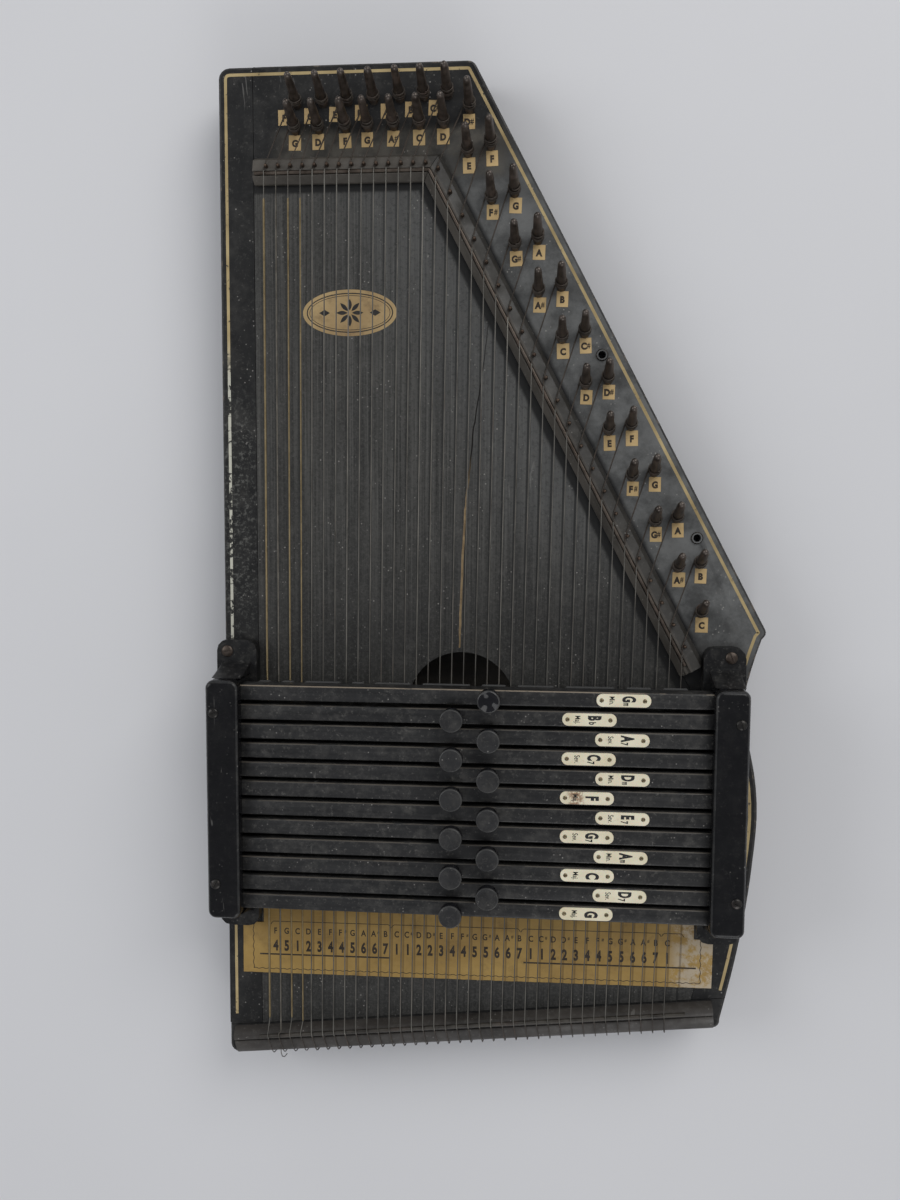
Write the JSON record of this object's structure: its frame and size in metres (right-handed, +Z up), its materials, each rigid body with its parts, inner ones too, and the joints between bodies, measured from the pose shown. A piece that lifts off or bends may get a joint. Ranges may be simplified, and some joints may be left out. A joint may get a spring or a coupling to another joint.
{
  "type": "chorded zither",
  "caption": "Flat black wooden zither with sloping strings over a round sound hole; spring-lifted damper bars with buttons press felts on the strings to leave one chord sounding.",
  "frame": {"origin": "under the middle of the whole instrument, on the surface its rubber feet stand on", "axes": "+Z up out of the soundboard, +Y from the tail to the tuning end, +X from the bass strings to the treble strings"},
  "size_m": [0.3024, 0.5588, 0.0805],
  "materials": {
    "black_lacquer": "black lacquer on wood, dusty and rubbed at the edges",
    "stained_board": "black stained spruce with its vertical grain showing",
    "bare_wood": "unfinished",
    "nut_strips": "black lacquer worn to brown on the ridges",
    "nut_rod": "tarnished steel wire",
    "hitch_plate": "dark painted steel with bright pins",
    "string_wire": "dull steel wire, the bass strings wound with brass",
    "holders": "satin black lacquer",
    "covers": "glossy black, lightly scratched",
    "chord_bars": "satin black lacquer over wood, with a pale felt along the underside",
    "buttons": "polished black",
    "springs": "bright coiled wire",
    "screws": "tarnished, slotted",
    "rubber_feet": "matt black",
    "scale_paper": "printed gold-brown paper, stained and scuffed at the treble end",
    "tuning_pins": "dark and rusty, rubbed bright at the tips"
  },
  "bodies": {
    "case": {"soundboard": "stained_board", "back_panel": "black_lacquer", "bass_rail": "black_lacquer", "treble_rail": "black_lacquer", "pin_block": "black_lacquer", "tail_block": "black_lacquer", "brace_upper": "bare_wood", "brace_lower": "bare_wood", "nut_strip_top": "nut_strips", "nut_strip_diagonal": "nut_strips", "nut_rod": "nut_rod", "tail_bridge": "nut_strips", "hitch_plate": "hitch_plate", "string_band": "string_wire", "bass_holder": "holders", "treble_holder": "holders", "bass_cover": "covers", "treble_cover": "covers", "bass_spring_row": "springs", "treble_spring_row": "springs", "holder_screw_1": "screws", "holder_screw_2": "screws", "holder_screw_3": "screws", "holder_screw_4": "screws", "cover_screw_1": "screws", "cover_screw_2": "screws", "cover_screw_3": "screws", "cover_screw_4": "screws", "rubber_foot_1": "rubber_feet", "rubber_foot_2": "rubber_feet", "rubber_foot_3": "rubber_feet", "rubber_foot_4": "rubber_feet", "note_scale": "scale_paper", "tuning_pins_top": "tuning_pins", "tuning_pins_slant": "tuning_pins"},
    "bar_01": {"chord_bar_01": "chord_bars", "chord_button_01": "buttons"},
    "bar_02": {"chord_bar_02": "chord_bars", "chord_button_02": "buttons"},
    "bar_03": {"chord_bar_03": "chord_bars", "chord_button_03": "buttons"},
    "bar_04": {"chord_bar_04": "chord_bars", "chord_button_04": "buttons"},
    "bar_05": {"chord_bar_05": "chord_bars", "chord_button_05": "buttons"},
    "bar_06": {"chord_bar_06": "chord_bars", "chord_button_06": "buttons"},
    "bar_07": {"chord_bar_07": "chord_bars", "chord_button_07": "buttons"},
    "bar_08": {"chord_bar_08": "chord_bars", "chord_button_08": "buttons"},
    "bar_09": {"chord_bar_09": "chord_bars", "chord_button_09": "buttons"},
    "bar_10": {"chord_bar_10": "chord_bars", "chord_button_10": "buttons"},
    "bar_11": {"chord_bar_11": "chord_bars", "chord_button_11": "buttons"},
    "bar_12": {"chord_bar_12": "chord_bars", "chord_button_12": "buttons"}
  },
  "joints": [
    {"name": "chord_bar_01_press", "type": "slide", "parent": "case", "child": "bar_01", "axis": [0, 0, -1], "range_m": [0, 0.0027], "stiffness_N_per_m": 300, "springref_m": -0.003, "deforming": ["bass_spring_row", "treble_spring_row"]},
    {"name": "chord_bar_02_press", "type": "slide", "parent": "case", "child": "bar_02", "axis": [0, 0, -1], "range_m": [0, 0.0027], "stiffness_N_per_m": 300, "springref_m": -0.003, "deforming": ["bass_spring_row", "treble_spring_row"]},
    {"name": "chord_bar_03_press", "type": "slide", "parent": "case", "child": "bar_03", "axis": [0, 0, -1], "range_m": [0, 0.0027], "stiffness_N_per_m": 300, "springref_m": -0.003, "deforming": ["bass_spring_row", "treble_spring_row"]},
    {"name": "chord_bar_04_press", "type": "slide", "parent": "case", "child": "bar_04", "axis": [0, 0, -1], "range_m": [0, 0.0027], "stiffness_N_per_m": 300, "springref_m": -0.003, "deforming": ["bass_spring_row", "treble_spring_row"]},
    {"name": "chord_bar_05_press", "type": "slide", "parent": "case", "child": "bar_05", "axis": [0, 0, -1], "range_m": [0, 0.0027], "stiffness_N_per_m": 300, "springref_m": -0.003, "deforming": ["bass_spring_row", "treble_spring_row"]},
    {"name": "chord_bar_06_press", "type": "slide", "parent": "case", "child": "bar_06", "axis": [0, 0, -1], "range_m": [0, 0.0027], "stiffness_N_per_m": 300, "springref_m": -0.003, "deforming": ["bass_spring_row", "treble_spring_row"]},
    {"name": "chord_bar_07_press", "type": "slide", "parent": "case", "child": "bar_07", "axis": [0, 0, -1], "range_m": [0, 0.0027], "stiffness_N_per_m": 300, "springref_m": -0.003, "deforming": ["bass_spring_row", "treble_spring_row"]},
    {"name": "chord_bar_08_press", "type": "slide", "parent": "case", "child": "bar_08", "axis": [0, 0, -1], "range_m": [0, 0.0027], "stiffness_N_per_m": 300, "springref_m": -0.003, "deforming": ["bass_spring_row", "treble_spring_row"]},
    {"name": "chord_bar_09_press", "type": "slide", "parent": "case", "child": "bar_09", "axis": [0, 0, -1], "range_m": [0, 0.0027], "stiffness_N_per_m": 300, "springref_m": -0.003, "deforming": ["bass_spring_row", "treble_spring_row"]},
    {"name": "chord_bar_10_press", "type": "slide", "parent": "case", "child": "bar_10", "axis": [0, 0, -1], "range_m": [0, 0.0027], "stiffness_N_per_m": 300, "springref_m": -0.003, "deforming": ["bass_spring_row", "treble_spring_row"]},
    {"name": "chord_bar_11_press", "type": "slide", "parent": "case", "child": "bar_11", "axis": [0, 0, -1], "range_m": [0, 0.0027], "stiffness_N_per_m": 300, "springref_m": -0.003, "deforming": ["bass_spring_row", "treble_spring_row"]},
    {"name": "chord_bar_12_press", "type": "slide", "parent": "case", "child": "bar_12", "axis": [0, 0, -1], "range_m": [0, 0.0027], "stiffness_N_per_m": 300, "springref_m": -0.003, "deforming": ["bass_spring_row", "treble_spring_row"]}
  ]
}
